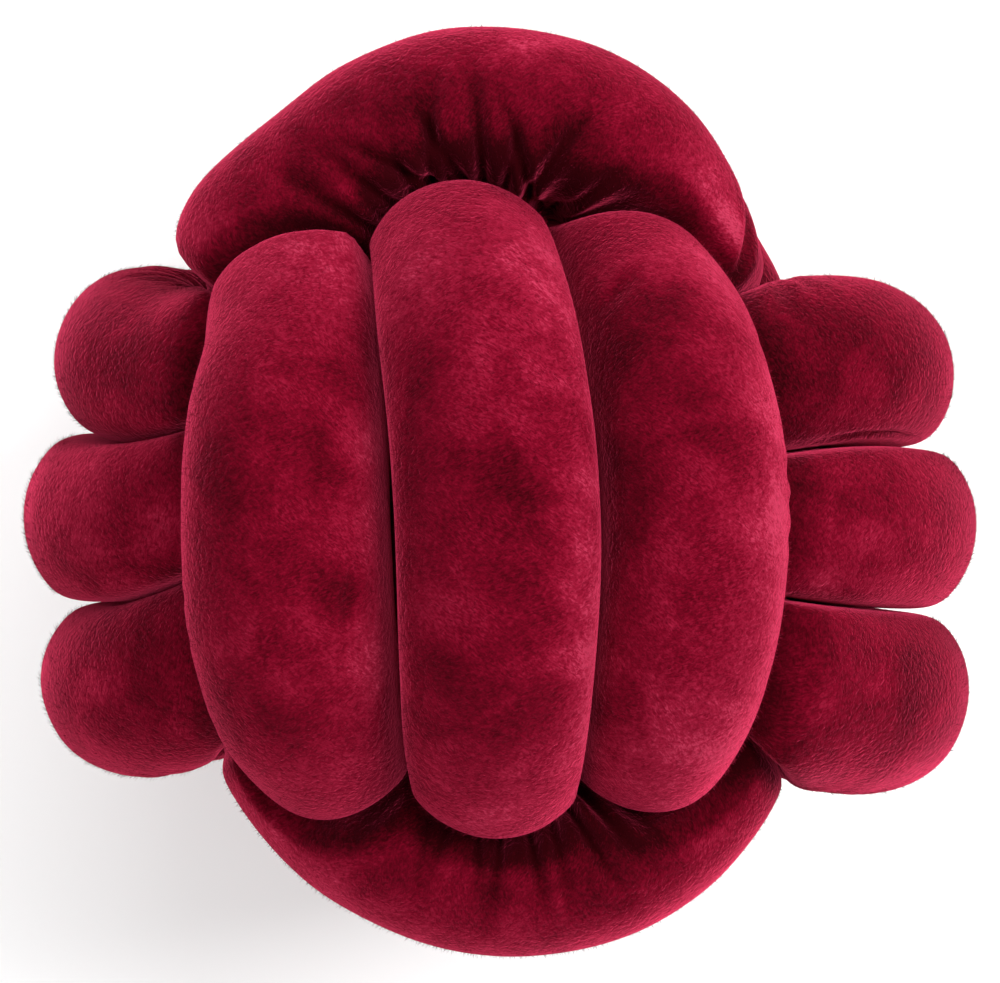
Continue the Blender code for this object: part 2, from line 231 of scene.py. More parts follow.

# Soft blotches in the pile's colour, partly where the pile lies another way and partly painted light and
# shade: painted highlights on sides and ends that face the lamps, painted shade over bright rims and
# deep in folds.
# quarter and angle: as for the gathers     length, width: along and round the tube, in millimetres
# light: how much lighter, or darker where it is below 0
Blotch = namedtuple("Blotch", "quarter angle length width light")
NAP_AND_PAINTED_LIGHT = {
    # set, face, strand
    ("A", +1, +1): [
        Blotch(-0.40, -22.0, 26.0, 26.0, 0.32),
        Blotch(-0.30, -58.0, 15.0, 13.0, -0.09),
        Blotch(-0.03, 5.0, 26.0, 15.0, -0.10),
        # painted highlight along the side that faces the key lamp
        Blotch(0.02, -92.0, 70.0, 13.0, 0.20),
        Blotch(0.14, -62.0, 8.0, 8.0, -0.07),
        Blotch(0.22, -42.0, 20.0, 14.0, 0.09),
        Blotch(0.21, 8.0, 13.0, 10.0, -0.09),
        Blotch(0.54, -20.0, 20.0, 36.0, 0.16),
    ],
    ("A", +1, 0): [
        Blotch(-0.45, 2.0, 10.0, 14.0, -0.10),
        Blotch(-0.36, 10.0, 20.0, 26.0, 0.14),
        Blotch(0.00, 8.0, 32.0, 22.0, -0.20),
        # painted highlight along the side that faces the key lamp
        Blotch(0.11, -53.0, 70.0, 13.0, 0.42),
        Blotch(0.12, 25.0, 9.0, 14.0, 0.08),
        Blotch(0.25, 14.0, 12.0, 18.0, -0.04),
        Blotch(0.53, 0.0, 20.0, 36.0, 0.20),
    ],
    ("A", +1, -1): [
        Blotch(-0.38, 52.0, 22.0, 18.0, -0.14),
        Blotch(-0.14, 38.0, 24.0, 18.0, -0.10),
        Blotch(0.08, 60.0, 15.0, 13.0, -0.09),
        # painted highlight along the side that faces the key lamp
        Blotch(0.06, -42.0, 68.0, 16.0, 0.46),
        Blotch(-0.15, 80.0, 60.0, 10.0, -0.15),
        Blotch(-0.50, 0.0, 18.0, 26.0, 0.12),
        Blotch(0.38, -10.0, 26.0, 28.0, 0.12),
        Blotch(0.54, 10.0, 20.0, 36.0, 0.16),
    ],
    ("B", +1, +1): [
        Blotch(-0.53, 10.0, 14.0, 13.0, -0.12),
        # painted shade that tones down the sheen on the outer end
        Blotch(-0.16, -4.0, 24.0, 40.0, -0.32),
    ],
    ("B", +1, 0): [
        Blotch(-0.54, -25.0, 16.0, 12.0, 0.13),
        Blotch(-0.47, 6.0, 24.0, 18.0, 0.12),
    ],
    # painted shade that tones down the sheen on the outer end
    ("B", -1, +1): [Blotch(0.15, -4.0, 26.0, 40.0, -0.28)],
    ("B", -1, 0): [
        Blotch(0.64, -10.0, 14.0, 15.0, 0.10),
        # painted shade that tones down the sheen on the outer end
        Blotch(0.12, 0.0, 26.0, 40.0, -0.18),
    ],
    ("B", -1, -1): [
        Blotch(0.53, 40.0, 18.0, 14.0, -0.15),
        # painted shade that tones down the sheen on the outer end
        Blotch(0.14, 16.0, 26.0, 40.0, -0.42),
    ],
    ("C", +1, +1): [
        Blotch(-0.31, 36.0, 15.0, 18.0, -0.15),
        Blotch(0.02, 8.0, 30.0, 16.0, 0.20),
        Blotch(-0.10, 50.0, 9.0, 20.0, 0.08),
        Blotch(0.27, 50.0, 11.0, 26.0, -0.17),
        Blotch(0.46, 30.0, 24.0, 18.0, 0.16),
        # painted highlight on the fold at the end of the arc
        Blotch(0.655, 18.0, 12.0, 12.0, 0.50),
        # painted shade deep in the folds on either side of the middle strand's top
        Blotch(0.235, 102.0, 8.0, 13.0, -0.50),
        Blotch(-0.32, 104.0, 10.0, 12.0, -0.30),
    ],
    ("C", -1, +1): [
        Blotch(0.48, 20.0, 28.0, 18.0, 0.22),
        Blotch(0.27, 36.0, 16.0, 14.0, -0.12),
        Blotch(-0.08, 58.0, 16.0, 13.0, -0.12),
        Blotch(-0.55, 12.0, 20.0, 18.0, -0.08),
    ],
}

# Single hairs of the pile, on all that can be seen: sizes in millimetres, turns in degrees.
FIBRES_A_TURN = 10000
FIBRE_LENGTHS = (1.1, 2.2)
FIBRE_RADIUS = 0.07
FIBRE_SINK = 0.15           # how deep below the surface a hair starts
FIBRE_LEAN = 58.0           # from upright
FIBRE_LEAN_SPREAD = 12.0
COMB_SIZE = 26.0            # the way in which hairs lie changes over about this distance
COMB_SWING = 55.0           # by so much to either side
COMB_SPREAD = 22.0          # and from hair to hair by about so much
FIBRE_LIGHT = (-0.20, 0.20)  # how much lighter than the pile round it a hair looks
FIBRE_SEED = 40
FREE_OF_TOUCH = 1.06        # hairs stand only where all that presses is farther off, in free radii
FIBRE_POINTS = 4            # three at the root and one at the tip
FIBRE_FACES = ((0, 1, 2), (0, 3, 1), (1, 3, 2), (2, 3, 0))
FIBRE_CORNERS = 3 * len(FIBRE_FACES)


def ease(t):
    """A smooth step from 0 to 1."""
    t = np.clip(t, 0.0, 1.0)
    return t * t * (3.0 - 2.0 * t)


def hermite(start, end, start_slope, end_slope, t):
    """A cubic curve from start to end with these slopes, at t from 0 to 1."""
    return ((2 * t**3 - 3 * t**2 + 1) * start + (t**3 - 2 * t**2 + t) * start_slope
            + (-2 * t**3 + 3 * t**2) * end + (t**3 - t**2) * end_slope)


def unit(vectors):
    return vectors / np.linalg.norm(vectors, axis=-1, keepdims=True)


# ---------------------------------------------------------------- the tube's route

def smooth_through(knots, values, q):
    """A smooth curve through the values at the knots, read at q."""
    knots = np.asarray(knots, float)
    values = np.asarray(values, float)
    slopes = np.gradient(values, knots)
    i = np.clip(np.searchsorted(knots, q) - 1, 0, len(knots) - 2)
    width = knots[i + 1] - knots[i]
    t = (q - knots[i]) / width
    return hermite(values[i], values[i + 1], width * slopes[i], width * slopes[i + 1], t)


def held(values, q):
    """One value for each pass, held round its crown and eased over in each leg."""
    values = np.asarray(values, float)
    place = (q - 1.0) / 2.0
    i = np.clip(np.floor(place).astype(int), 0, len(values) - 2)
    t = ease((place - i - HELD_SHARE) / (1.0 - 2.0 * HELD_SHARE))
    return values[i] * (1.0 - t) + values[i + 1] * t


def set_path(name):
    """The middle line of one set's three turns in XYZ, with its quarter turns and free radius."""
    rows = [PASSES[(name, face, strand)] for face, strand in ORDER]
    knots = []
    across = []
    for i, (row, (face, _strand)) in enumerate(zip(rows, ORDER)):
        first, last = (row.lean_in, row.lean_out) if face > 0 else (row.lean_out, row.lean_in)
        knots += [2 * i, 2 * i + 0.5, 2 * i + 1, 2 * i + 1.5]
        across += [WAIST * LEG_OFFSETS[i], first, row.middle, last]
    knots.append(QUARTERS)
    across.append(WAIST * LEG_OFFSETS[-1])
    q = np.linspace(0.0, QUARTERS, QUARTERS * STEPS_PER_QUARTER + 1)
    u = smooth_through(knots, across, q)

    turn = np.cos(q * math.pi / 2)
    rise = np.sin(q * math.pi / 2)
    leg_in = held([row.leg_in for row in rows], q)
    leg_out = held([row.leg_out for row in rows], q)
    here = np.clip((q // 2).astype(int), 0, len(rows) - 1)
    full_in = np.array([row.full_in for row in rows])[here]
    full_out = np.array([row.full_out for row in rows])[here]
    leg = np.where(turn > 0, leg_in, leg_out)
    full = np.where(turn > 0, full_in, full_out)
    shift = held([row.shift for row in rows], q)
    v = shift * (1.0 - np.abs(turn)) + leg * turn * (1.0 + full * rise**2)

    reach = held([row.reach for row in rows], q)
    depth = (leg_in + leg_out) / 2
    w = (reach - depth) * np.tanh(HOLD * rise) / math.tanh(HOLD) + depth * rise

    path = np.zeros((len(q), 3))
    for values, axis in zip((u, v, w), AXES[name]):
        path[:, axis] = -values if axis == 0 else values
    radius = held([row.radius for row in rows], q)
    kept = (q >= JOIN_QUARTER) & (q <= QUARTERS - JOIN_QUARTER)
    return path[kept], q[kept], radius[kept]


def joining_bend(before, after, running_axis):
    """The hidden bend from the end of one set, past the middle, to the start of the next."""
    start, end = before[-1], after[0]
    leave = unit(start - before[-1 - JOIN_TANGENT])
    arrive = unit(after[JOIN_TANGENT] - end)
    middle = (start + end) / 2
    middle[running_axis] = JOIN_DEPTH * np.sign(middle[running_axis])
    across = unit(end - start)
    t = np.linspace(0.0, 1.0, JOIN_STEPS + 1)[1:, None]
    first = np.linalg.norm(middle - start)
    second = np.linalg.norm(end - middle)
    halves = [
        hermite(start, middle, leave * first * JOIN_PULL, across * first * MIDDLE_PULL, t),
        hermite(middle, end, across * second * MIDDLE_PULL, arrive * second * JOIN_PULL, t),
    ]
    return np.concatenate(halves)[:-1]


def relaxed(values, rounds):
    """Values round the closed route, smoothed."""
    for _ in range(rounds):
        values = 0.5 * values + 0.25 * (np.roll(values, 1, 0) + np.roll(values, -1, 0))
    return values


class Route:
    """The closed middle line at even steps, with the quarter turn and the free radius there."""

    def __init__(self):
        points, quarters, radii = [], [], []
        paths = [set_path(name) for name in SETS]
        for i, (path, q, radius) in enumerate(paths):
            bend = joining_bend(path, paths[(i + 1) % len(paths)][0], AXES[SETS[i]][1])
            from_leg = np.abs((q + 1) % 2 - 1)
            hidden = ease(1.0 - from_leg / LEG_SPAN)
            narrow = NECK[SETS[i]] * ease(1.0 - np.abs(from_leg - NECK_PLACE) / NECK_SPAN)
            radius = radius * (1.0 - narrow)
            across = np.linspace(q[-1], QUARTERS + JOIN_QUARTER, len(bend) + 2)[1:-1]
            points += [path, bend]
            quarters += [q + QUARTERS * i, across + QUARTERS * i]
            radii += [radius + (PACKED_RADIUS - radius) * hidden, np.full(len(bend), PACKED_RADIUS)]
        points, quarters, radii = (np.concatenate(x) for x in (points, quarters, radii))
        closed = np.vstack([points, points[:1]])
        along = np.concatenate([[0.0], np.cumsum(np.linalg.norm(np.diff(closed, axis=0), axis=1))])
        self.length = along[-1]
        self.step = self.length / ROUTE_SAMPLES
        self.lengths = np.arange(ROUTE_SAMPLES) * self.step
        even = np.stack([np.interp(self.lengths, along, closed[:, k]) for k in range(3)], axis=1)
        self.points = relaxed(even, ROUTE_SMOOTHING)
        self.radius = relaxed(np.interp(self.lengths, along[:-1], radii), RADIUS_SMOOTHING)
        quarters = np.append(quarters, quarters[0] + QUARTERS * len(SETS))
        self.quarters = np.interp(self.lengths, along, quarters)
        before, after = np.roll(self.points, BEND_STEP, 0), np.roll(self.points, -BEND_STEP, 0)
        self.bend = (before - 2 * self.points + after) / (BEND_STEP * self.step) ** 2
        self.seam_side = self.inner_directions()

    def inner_directions(self):
        """Across the tube, towards the middle of the ball, carried on smoothly where that is unclear."""
        along = unit(np.roll(self.points, -1, 0) - np.roll(self.points, 1, 0))
        inner = -self.points
        for _ in range(INNER_ROUNDS):
            inner -= along * (inner * along).sum(1)[:, None]
            inner = relaxed(inner, 1)
        return unit(inner - along * (inner * along).sum(1)[:, None])

    def read(self, values, s):
        """Values along the route, read smoothly at the lengths s."""
        place = s / self.step
        i = np.floor(place).astype(int)
        t = place - i
        if values.ndim > 1:
            t = t[:, None]
        a, b, c, d = (values[(i + k) % ROUTE_SAMPLES] for k in (-1, 0, 1, 2))
        return hermite(b, c, (c - a) / 2, (d - b) / 2, t)

    def length_at(self, quarter):
        """How far along the route a quarter turn lies. Lengths run on past the start."""
        whole = QUARTERS * len(SETS)
        laps = (quarter - self.quarters[0]) // whole
        s = np.arange(ROUTE_SAMPLES + 1) * self.step
        known = np.append(self.quarters, self.quarters[0] + whole)
        return float(np.interp(quarter - laps * whole, known, s)) + laps * self.length

    def from_quarter(self, quarter, s):
        """How far along the tube the lengths s lie from a quarter turn, the shorter way."""
        along = s - self.length_at(quarter)
        return (along + self.length / 2) % self.length - self.length / 2

    def quarter_at(self, s):
        """The quarter turns at the lengths s."""
        return np.interp(s % self.length, self.lengths, self.quarters)


# ---------------------------------------------------------------- the pressed surface

def soft_noise(points, size, seed):
    """Smooth random values from -1 to 1 at the points, which change over about size."""
    table = np.random.default_rng(seed).uniform(-1, 1, (NOISE_CELLS,) * 3)
    cell = np.floor(points / size).astype(int)
    t = ease(points / size - cell)
    value = np.zeros(points.shape[:-1])
    for corner in itertools.product((0, 1), repeat=3):
        weight = np.prod(np.where(corner, t, 1 - t), axis=-1)
        i, j, k = np.moveaxis((cell + corner) % NOISE_CELLS, -1, 0)
        value += weight * table[i, j, k]
    return value


def spaced(low, high, gap_at):
    """Places from low to high whose gaps follow gap_at."""
    x = np.linspace(low, high, GAP_STEPS)
    count = np.concatenate([[0.0], np.cumsum(np.diff(x) / gap_at((x[1:] + x[:-1]) / 2))])
    whole = max(2, round(count[-1]))
    return np.interp(np.linspace(0, count[-1], whole + 1), count, x)


def side_angles():
    """Angles round the tube from its outer line, from the seam at -180 degrees back to it."""
    def gap_at(angle):
        hidden = ease((np.abs(angle) - SHOWN_ANGLE) / ANGLE_BLEND)
        return np.degrees((SIDE_GAP + (HIDDEN_SIDE_GAP - SIDE_GAP) * hidden) / TUBE_RADIUS)
    return np.radians(spaced(-180.0, 180.0, gap_at)[:-1])


def ring_places(route, turn):
    """Lengths along the route of one turn's rings."""
    first = route.length_at(turn * QUARTERS_A_TURN)
    last = route.length_at((turn + 1) * QUARTERS_A_TURN)

    def gap_at(s):
        quarter = route.quarters[np.floor(s / route.step).astype(int) % ROUTE_SAMPLES]
        hidden = ease((np.abs(quarter % 2 - 1) - SHOWN_QUARTER) / QUARTER_BLEND)
        return RING_GAP + (HIDDEN_RING_GAP - RING_GAP) * hidden
    return spaced(first, last, gap_at)


def free_limits(route, s, rays, centre):
    """How far each ray reaches before it meets another pass or the seat, and before a crossing pass."""
    gap_along = np.abs(route.lengths[None] - (s % route.length)[:, None])
    gap_along = np.minimum(gap_along, route.length - gap_along)
    apart = route.points[None] - centre[:, None]
    distance = np.linalg.norm(apart, axis=2)
    other_pass = (gap_along > OWN_LENGTH) & (distance < NEIGHBOUR_REACH)
    squared = distance**2 - CLEARANCE**2
    limits = np.zeros(rays.shape[:2])
    crossing_limits = np.zeros(rays.shape[:2])
    own_set = (route.quarter_at(s) // QUARTERS)[:, None]
    crossing = (route.quarters // QUARTERS)[None] != own_set
    for j in range(rays.shape[1]):
        towards = np.einsum("ijk,ik->ij", apart, rays[:, j]) + CLEARANCE
        facing = other_pass & (towards > 0)
        half_way = np.where(facing, squared / (2 * np.where(facing, towards, 1.0)), np.inf)
        limits[:, j] = half_way.min(1)
        crossing_limits[:, j] = np.where(crossing, half_way, np.inf).min(1)
    down = np.maximum(-rays[:, :, 2], TINY)
    return np.minimum(limits, (centre[:, None, 2] + SEAT_DEPTH) / down), crossing_limits


def crown_quarter(name, face, strand):
    """The quarter turn at a pass's crown, counted on from set to set."""
    return SETS.index(name) * QUARTERS + 2 * ORDER.index((face, strand)) + 1


def loose_gathers(strand, seed):
    """Gathers for one outer strand, spread along the side away from the middle strand."""
    draw = np.random.default_rng(seed)
    gathers = []
    for place in np.linspace(-LOOSE_REACH, LOOSE_REACH, LOOSE_COUNT):
        gathers.append(Gather(
            quarter=place + draw.uniform(-1, 1) * LOOSE_REACH / LOOSE_COUNT,
            angle=strand * LOOSE_ANGLE,
            length=draw.uniform(*LOOSE_LENGTHS),
            width=draw.uniform(*LOOSE_WIDTHS),
            depth=draw.uniform(*LOOSE_DEPTHS),
            lean=draw.uniform(-LOOSE_LEAN, LOOSE_LEAN),
        ))
    return gathers


def all_gathers():
    """Each pass's crown in quarter turns, with its gathers."""
    for i, key in enumerate(PASSES):
        strand = key[2]
        if key in GATHERS:
            yield crown_quarter(*key), GATHERS[key]
        if strand and (key not in GATHERS or key[0] == "A"):
            yield crown_quarter(*key), loose_gathers(strand, LOOSE_SEED + i)


def round_from(degrees, angles):
    """How far round the tube the angles lie from one angle, the shorter way, in millimetres."""
    turned = (angles - math.radians(degrees) + np.pi) % (2 * np.pi) - np.pi
    return turned * TUBE_RADIUS


def gathered(route, s, angles):
    """How far the gathers lower the surface at each point, in millimetres, and how much painted shade
    they put there.
    """
    low = np.zeros((len(s), len(angles)))
    dark = np.zeros_like(low)
    for crown, gathers in all_gathers():
        for gather in gathers:
            along = route.from_quarter(crown + gather.quarter, s)
            near = np.abs(along) < GATHER_REACH * gather.width + gather.length
            if not near.any():
                continue
            along = along[near][:, None]
            across = round_from(gather.angle, angles)[None]
            lean = math.radians(gather.lean)
            off = np.abs(along * math.cos(lean) - across * math.sin(lean)) / gather.width
            down = along * math.sin(lean) + across * math.cos(lean)
            fade = ease(1.0 - np.abs(2 * down / gather.length))
            ridges = np.exp(-((off - RIDGE_PLACE) ** 2))
            low[near] += gather.depth * fade * (np.exp(-(off**2)) - RIDGE_SHARE * ridges)
            # painted shade: darker in the trough, and more widely in the folds round it
            wide = np.exp(-((off / SHADE_SPREAD) ** 2))
            dark[near] += gather.depth * fade * (SHADE * np.exp(-(off**2)) + WIDE_SHADE * wide)
    return low, dark


def nap_and_painted_light(route, s, angles):
    """How much lighter each point is coloured, partly for pile that lies another way and partly as
    painted light and shade.
    """
    light = np.zeros((len(s), len(angles)))
    for key, blotches in NAP_AND_PAINTED_LIGHT.items():
        for blotch in blotches:
            along = route.from_quarter(crown_quarter(*key) + blotch.quarter, s) / blotch.length
            across = round_from(blotch.angle, angles) / blotch.width
            light += blotch.light * np.exp(-(along[:, None] ** 2 + across[None] ** 2))
    return light


def ring_rays(route, s, angles):
    """The tube's middle at the lengths s, and the directions from there at the angles."""
    along = unit(route.read(route.points, s + TANGENT_STEP) - route.read(route.points, s - TANGENT_STEP))
    outer = -route.read(route.seam_side, s)
    outer = unit(outer - along * (outer * along).sum(1)[:, None])
    across = np.cross(along, outer)
    rays = (outer[:, None] * np.cos(angles)[None, :, None]
            + across[:, None] * np.sin(angles)[None, :, None])
    return route.read(route.points, s), rays


# rings: points in millimetres     ends: the middles of the first and the last ring
# s, angles: where the points lie along and round the tube
# dark: how much darker the pile is coloured at each point, as painted shade less the blotches' nap and painted light     bare: whether hairs can stand there
Surface = namedtuple("Surface", "rings ends s angles dark bare")


def turn_surface(route, turn):
    """One turn's surface, pressed and gathered, with its painted shade, painted light and nap."""
    s = ring_places(route, turn)
    angles = side_angles()
    centre, rays = ring_rays(route, s, angles)
    radius = route.read(route.radius, s)[:, None]
    limit, crossing_limit = free_limits(route, s, rays, centre)
    bend = route.read(route.bend, s)
    inwards = np.maximum((bend[:, None] * rays).sum(2), TINY)
    limit = np.minimum(limit, BEND_SHARE / inwards)

    round_point = centre[:, None] + rays * radius[:, :, None]
    swell = sum(share * soft_noise(round_point, size, seed) for share, size, seed in LUMPS)
    free = radius * (1 + swell)
    pressed = (free**-PRESS_SHARPNESS + limit**-PRESS_SHARPNESS) ** (-1 / PRESS_SHARPNESS)
    seam = np.exp(-(((np.pi - np.abs(angles)) * TUBE_RADIUS / SEAM_WIDTH) ** 2))
    creases, dark = gathered(route, s, angles)
    # painted shade in the nooks where another set lies close; the blotches then add nap and painted
    # light and shade
    nook = ease((NOOK_REACH - crossing_limit / free) / (NOOK_REACH - 1))
    own_set = SETS[turn // TURNS_A_SET]
    dark = np.minimum(dark + NOOK_SHADE[own_set] * nook, MOST_SHADE) - nap_and_painted_light(route, s, angles)
    rings = centre[:, None] + rays * (pressed - creases - SEAM_DEPTH * seam[None])[:, :, None]
    shown = np.abs(route.quarter_at(s) % 2 - 1)[:, None] < SHOWN_QUARTER
    bare = shown & (np.abs(angles) < math.radians(SHOWN_ANGLE))[None] & (limit > FREE_OF_TOUCH * free)
    return Surface(rings, centre[[0, -1]], s, angles, dark, bare)


# ---------------------------------------------------------------- meshes

PILE_MAP = "pile"
BAKE_MAP = "OFBake"
BAKE_MARGIN = 0.004         # left free along the edges of that map
# the point attribute that carries painted shade and light, the nap's blotches and each hair's random
# tone
LIGHTNESS = "lightness"


def middle_of(surfaces):
    """The move in millimetres from the ball's middle point to the row's frame, as in the solid."""
    low = np.min([surface.rings.min((0, 1)) for surface in surfaces], axis=0)
    high = np.max([surface.rings.max((0, 1)) for surface in surfaces], axis=0)
    return np.append(-(low + high)[:2] / 2, SEAT_DEPTH - FLAT_TRIM)


def turn_faces(rings, sides):
    """The quads between a turn's rings, and the triangles that close its two ends."""
    first = np.arange(rings - 1)[:, None] * sides
    second = first + sides
    here = np.arange(sides)[None]
    beside = (here + 1) % sides
    quads = np.stack([first + here, first + beside, second + beside, second + here], -1)
    quads = quads.reshape(-1, 4).tolist()
    start = rings * sides
    end = start + 1
    last = start - sides
    caps = [(start, (k + 1) % sides, k) for k in range(sides)]
    caps += [(end, last + k, last + (k + 1) % sides) for k in range(sides)]
    return quads, caps


def fibres(surface, turn):
    """Single hairs of the pile: their points, and the ring and side that each grows from."""
    draw = np.random.default_rng(FIBRE_SEED + turn)
    rings = surface.rings
    sides = len(surface.angles)
    right = np.roll(rings, -1, 1)
    area = np.linalg.norm(np.cross(rings[1:] - rings[:-1], (right - rings)[:-1]), axis=2)
    chance = (area * surface.bare[:-1]).ravel()
    cell = draw.choice(len(chance), FIBRES_A_TURN, p=chance / chance.sum())
    i, j = cell // sides, cell % sides
    a, b = draw.random((2, FIBRES_A_TURN, 1))
    low = rings[i, j] * (1 - b) + right[i, j] * b
    high = rings[i + 1, j] * (1 - b) + right[i + 1, j] * b
    root = low * (1 - a) + high * a
    along, across = unit(high - low), unit(right[i, j] - rings[i, j])
    outwards = unit(np.cross(across, along))
    across = np.cross(along, outwards)

    comb = COMB_SWING * soft_noise(root, COMB_SIZE, FIBRE_SEED)[:, None]
    comb = np.radians(comb + draw.normal(0, COMB_SPREAD, comb.shape))
    lean = np.radians(draw.normal(FIBRE_LEAN, FIBRE_LEAN_SPREAD, comb.shape))
    flat = across * np.cos(comb) + along * np.sin(comb)
    length = draw.uniform(*FIBRE_LENGTHS, comb.shape)
    tip = root + length * (outwards * np.cos(lean) + flat * np.sin(lean))
    sunk = root - FIBRE_SINK * outwards
    base = []
    for t in np.arange(3) * 2 * np.pi / 3:
        base.append(sunk + FIBRE_RADIUS * (along * np.cos(t) + across * np.sin(t)))
    return np.stack([*base, tip], 1), np.stack([i + a[:, 0], j + b[:, 0]], 1)


def make_turn(surface, turn, shift, materials):
    """One turn of the tube with its hairs, as a piece."""
    count, sides = surface.rings.shape[:2]
    hairs, roots = fibres(surface, turn)
    skin = np.vstack([surface.rings.reshape(-1, 3), surface.ends])
    points = np.vstack([skin, hairs.reshape(-1, 3)]) + shift
    points[:, 2] = np.maximum(points[:, 2], 0.0)
    quads, caps = turn_faces(count, sides)
    first = len(skin) + FIBRE_POINTS * np.arange(len(hairs))[:, None, None]
    hair_faces = (first + np.array(FIBRE_FACES)).reshape(-1, 3).tolist()
    mesh = bpy.data.meshes.new(f"turn_{turn + 1}")
    mesh.from_pydata((points * MM).tolist(), [], quads + caps + hair_faces)
    mesh.shade_smooth()
    add_maps(mesh, surface, len(caps), roots)
    add_lightness(mesh, surface, turn, roots)
    for material in materials:
        mesh.materials.append(material)
    skin_faces = len(quads) + len(caps)
    of_hair = np.arange(skin_faces + len(hair_faces)) >= skin_faces
    mesh.polygons.foreach_set("material_index", of_hair.astype(np.int32))
    piece = bpy.data.objects.new(f"turn_{turn + 1}", mesh)
    bpy.context.scene.collection.objects.link(piece)
    return piece


def add_lightness(mesh, surface, turn, roots):
    """How much lighter the pile is coloured at each point: painted shade and light with the nap's
    blotches, and each hair's own random tone. A hair goes by the point that it grows from.
    """
    draw = np.random.default_rng(turn)
    ring, side = roots.astype(int).T
    of_hairs = draw.uniform(*FIBRE_LIGHT, len(roots)) - surface.dark[ring, side]
    of_ends = np.zeros(len(surface.ends))
    lightness = np.concatenate([-surface.dark.ravel(), of_ends, np.repeat(of_hairs, FIBRE_POINTS)])
    attribute = mesh.attributes.new(LIGHTNESS, "FLOAT", "POINT")
    attribute.data.foreach_set("value", lightness.astype(np.float32))


def each_corner(of_quads, caps, of_hairs):
    """A value for each corner of a turn's faces: its quads, its end triangles (0) and its hairs."""
    return np.concatenate([of_quads, np.zeros(3 * caps), np.repeat(of_hairs, FIBRE_CORNERS)])


def add_maps(mesh, surface, caps, roots):
    """A map in metres along and round the tube, and one that fills the unit square in two rows.

    A hair lies on one point of both, the one that it grows from.
    """
    count, sides = surface.rings.shape[:2]
    i = np.repeat(np.arange(count - 1), sides)
    j = np.tile(np.arange(sides), count - 1)
    ring = each_corner(np.stack([i, i, i + 1, i + 1], 1).ravel(), caps, roots[:, 0])
    side = each_corner(np.stack([j, j + 1, j + 1, j], 1).ravel(), caps, roots[:, 1])
    along = np.interp(ring, np.arange(count), surface.s)
    turned = np.interp(side, np.arange(sides + 1), np.append(surface.angles, np.pi)) * TUBE_RADIUS
    pile = np.stack([along, turned], 1) * MM
    mesh.uv_layers.new(name=PILE_MAP).uv.foreach_set("vector", pile.astype(np.float32).ravel())

    half = (count - 1) // 2
    second = each_corner(np.repeat(i >= half, 4), caps, roots[:, 0] >= half)
    long_way = np.where(second, (ring - half) / (count - 1 - half), ring / half)
    bake = np.stack([long_way, (side / sides + second) / 2], 1) * (1 - 2 * BAKE_MARGIN) + BAKE_MARGIN
    mesh.uv_layers.new(name=BAKE_MAP).uv.foreach_set("vector", bake.astype(np.float32).ravel())


# ---------------------------------------------------------------- the plush

PLUSH_COLOURS = (
    # how light the pile looks, and its colour
    (0.00, (0.020, 0.0003, 0.0013)),
    (0.30, (0.066, 0.0006, 0.0046)),
    (0.55, (0.128, 0.0013, 0.0100)),
    (0.80, (0.215, 0.0060, 0.0240)),
    (1.00, (0.350, 0.0240, 0.0600)),
)
# Sizes and heights are in metres. A share is how much of the lightness each pattern makes up.
NOISE_DETAIL = 2.0
PATTERN_SPAN = (0.30, 0.70)     # the values of a noise that are spread from 0 to 1
LARGE_PATCH = 0.045             # blotches where the pile leans another way
LARGE_SHARE = 0.31
LARGE_DISTORTION = 0.3
SMALL_PATCH = 0.016             # and smaller ones
SMALL_SHARE = 0.20
SMALL_DISTORTION = 0.5
GRAIN_SIZE = 0.0018
GRAIN_SHARE = 0.14
GRAIN_DETAIL = 3.0
GRAIN_DISTORTION = 0.6
STREAK = (0.00045, 0.0014)      # a lock of pile: width along the tube, and length round it
STREAK_SHARE = 0.32
STREAK_DISTORTION = 0.8
STREAK_SPAN = (0.28, 0.72)
STREAK_TURNS = (12.0, -30.0)    # degrees by which the locks lean in the two kinds of small patch
PILE_HEIGHT = 0.00011           # relief of the locks
PILE_STRENGTH = 0.8
DENT_HEIGHT = 0.00030           # relief of the grain
DENT_STRENGTH = 0.6
ROUGHNESS = 0.9
SPECULAR = 0.015
PILE_SHEEN = 1.0
HAIR_SHEEN = 0.15
SHEEN_ROUGHNESS = 0.36
SHEEN_TINT = (1.0, 0.065, 0.17, 1.0)


class Graph:
    """Adds nodes to a material and links them."""

    def __init__(self, material):
        self.nodes = material.node_tree.nodes
        self.links = material.node_tree.links

    def add(self, kind, settings=None, **inputs):
        """A new node's first output. Inputs go by name, or by number after an underscore."""
        node = self.nodes.new(kind)
        for name, value in (settings or {}).items():
            setattr(node, name, value)
        for name, value in inputs.items():
            socket = node.inputs[int(name[1:]) if name[0] == "_" else name.replace("_", " ")]
            if isinstance(value, bpy.types.NodeSocket):
                self.links.new(value, socket)
            else:
                socket.default_value = value
        return node.outputs[0]

    def math(self, operation, first, second):
        return self.add("ShaderNodeMath", {"operation": operation}, _0=first, _1=second)

    def noise(self, place, size, detail, distortion):
        return self.add("ShaderNodeTexNoise", Vector=place, Scale=1 / size, Detail=detail,
                        Distortion=distortion)

    def widened(self, value, span):
        """The values of a span, spread softly from 0 to 1."""
        return self.add("ShaderNodeMapRange", {"interpolation_type": "SMOOTHSTEP"}, Value=value,
                        From_Min=span[0], From_Max=span[1])

    def pattern(self, place, size, detail, distortion):
        """A noise with strong light and dark places."""
        return self.widened(self.noise(place, size, detail, distortion), PATTERN_SPAN)


